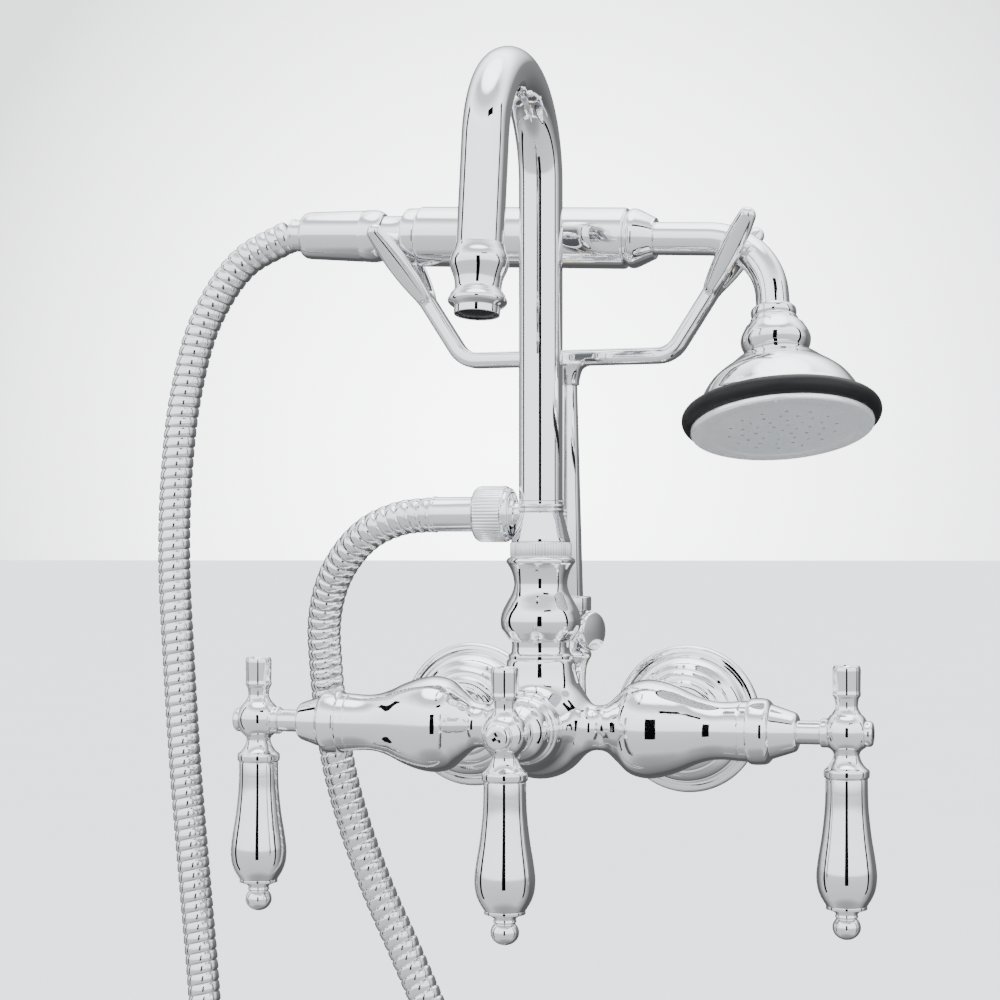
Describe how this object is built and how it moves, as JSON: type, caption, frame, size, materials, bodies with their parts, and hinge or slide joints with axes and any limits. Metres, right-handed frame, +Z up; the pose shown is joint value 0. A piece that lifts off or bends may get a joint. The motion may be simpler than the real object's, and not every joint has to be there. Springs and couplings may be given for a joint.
{
  "type": "wall mounted bath faucet",
  "caption": "Wall mounted bath faucet: lever valves, gooseneck spout on a turned tower, and a telephone style hand shower resting in a forked cradle, fed by a metal hose.",
  "frame": {"origin": "on the wall plane, midway between the two inlets at the height of the valve axis", "axes": "+Y goes into the wall along the inlet shanks, +Z is up, +X is to the right seen from the front"},
  "size_m": [0.291, 0.1829, 0.6515],
  "materials": {
    "chrome": "polished",
    "hose": "polished interlocked metal",
    "brass": "machined",
    "steel": "machined",
    "rubber": "satin",
    "dark_plastic": "moulded",
    "ceramic": "lapped ceramic",
    "face_plate": "satin"
  },
  "bodies": {
    "root": {"valve_body": "chrome", "hot_inlet_shank": "brass", "cold_inlet_shank": "brass", "hot_wall_flange": "chrome", "cold_wall_flange": "chrome", "wall_gaskets": "rubber", "shank_washers": "steel", "shank_locknuts": "brass", "hot_bonnet": "chrome", "cold_bonnet": "chrome", "diverter_bonnet": "chrome", "hot_cartridge": "brass", "cold_cartridge": "brass", "diverter_cartridge": "brass", "ceramic_seat_discs": "ceramic", "tower_column": "chrome", "knurled_lock_ring": "chrome", "outlet_collar": "chrome", "collar_set_screw": "steel", "hose_outlet_nipple": "brass", "outlet_washer": "rubber", "rear_pedestal": "chrome", "pedestal_ring": "chrome", "cradle_post": "chrome", "cradle_fork": "chrome", "shower_hose": "hose", "hose_outlet_sleeve": "chrome"},
    "hot_handle": {"hot_stem": "brass", "hot_handle_hub": "chrome", "hot_handle_grip": "chrome", "hot_handle_finial": "chrome", "hot_handle_screw": "chrome"},
    "cold_handle": {"cold_stem": "brass", "cold_handle_hub": "chrome", "cold_handle_grip": "chrome", "cold_handle_finial": "chrome", "cold_handle_screw": "chrome"},
    "diverter_handle": {"diverter_stem": "brass", "diverter_handle_hub": "chrome", "diverter_handle_grip": "chrome", "diverter_handle_finial": "chrome", "diverter_handle_screw": "chrome"},
    "spout": {"spout_gooseneck": "chrome", "spout_tail": "brass", "spout_seals": "rubber", "spout_end_fitting": "chrome", "spout_aerator": "dark_plastic"},
    "handset": {"handset_grip": "chrome", "handset_end_ring": "chrome", "handset_collar": "chrome", "handset_neck_tube": "chrome", "head_coupling": "chrome", "head_bell": "chrome", "head_rubber_ring": "rubber", "spray_plate": "face_plate", "handset_hose_sleeve": "chrome"},
    "outlet_nut": {"hose_outlet_nut": "chrome"},
    "handset_nut": {"handset_hose_nut": "chrome"},
    "cradle_lock": {"cradle_lock_knob": "chrome"}
  },
  "joints": [
    {"name": "hot_handle_turn", "type": "hinge", "parent": "root", "child": "hot_handle", "pos_m": [-0.111, -0.057, 0], "axis": [-1, 0, 0], "range_deg": [0, 90]},
    {"name": "cold_handle_turn", "type": "hinge", "parent": "root", "child": "cold_handle", "pos_m": [0.111, -0.057, 0], "axis": [-1, 0, 0], "range_deg": [0, 90]},
    {"name": "diverter_turn", "type": "hinge", "parent": "root", "child": "diverter_handle", "pos_m": [0, -0.102, 0], "axis": [0, 1, 0], "range_deg": [0, 90]},
    {"name": "spout_swivel", "type": "hinge", "parent": "root", "child": "spout", "pos_m": [0, -0.057, 0.1], "axis": [0, 0, 1], "range_deg": [-60, 60]},
    {"name": "handset_lift", "type": "slide", "parent": "root", "child": "handset", "axis": [0, 0, 1], "range_m": [0, 0.022]},
    {"name": "cradle_lock_turn", "type": "hinge", "parent": "root", "child": "cradle_lock", "pos_m": [0, -0.021, 0.0337], "axis": [0.9272, -0.3746, 0], "range_deg": [0, 180]},
    {"name": "outlet_nut_turn", "type": "hinge", "parent": "root", "child": "outlet_nut", "pos_m": [-0.017, -0.057, 0.0773], "axis": [-1, 0, 0], "continuous": true},
    {"name": "handset_nut_turn", "type": "hinge", "parent": "handset", "child": "handset_nut", "pos_m": [-0.08989, -0.021, 0.18709], "axis": [-0.9988, 0, 0.0499], "continuous": true}
  ]
}
